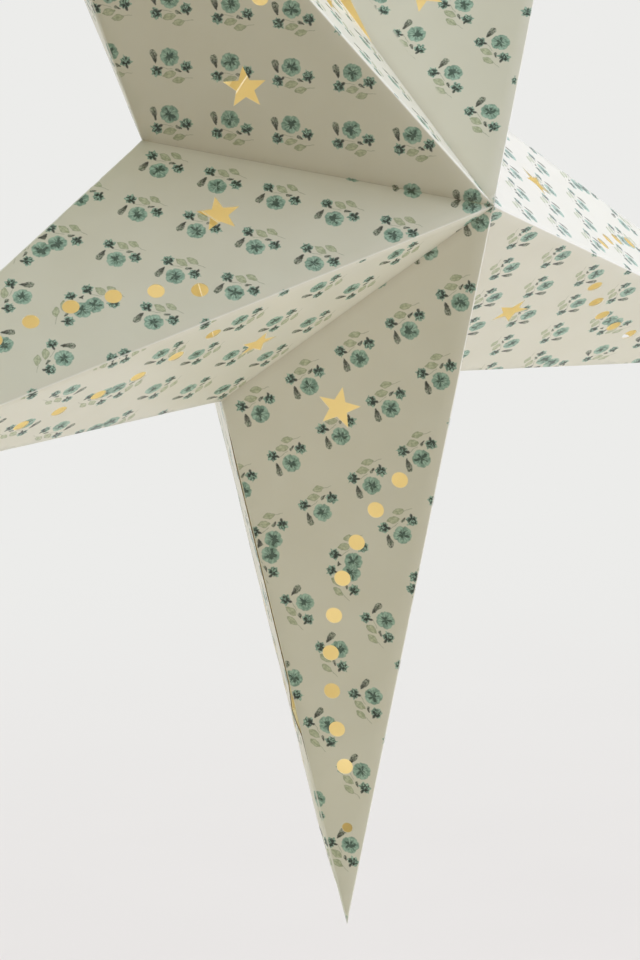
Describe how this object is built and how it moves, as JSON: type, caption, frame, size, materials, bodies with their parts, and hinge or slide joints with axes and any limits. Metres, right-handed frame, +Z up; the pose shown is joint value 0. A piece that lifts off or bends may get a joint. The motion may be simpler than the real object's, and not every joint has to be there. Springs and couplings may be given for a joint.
{
  "type": "paper star lantern",
  "caption": "Hollow hanging star lantern of folded printed card: points glued side by side, with punched dots and stars, and a gap in the top seam for a lamp's cord.",
  "frame": {"origin": "middle of the star, midway between its front and back peaks", "axes": "+Z up, from the middle to the lamp mouth in the top seam; -Y towards the front peak; +X to the right seen from the front"},
  "size_m": [0.5706, 0.205, 0.5427],
  "materials": {
    "printed_card": "matt card, warm grey-beige print with teal sprigs outside, plain pale yellow inside"
  },
  "bodies": {
    "root": {"point_down": "printed_card", "point_right": "printed_card", "point_upper_right": "printed_card", "point_upper_left": "printed_card", "point_left": "printed_card"}
  },
  "joints": []
}
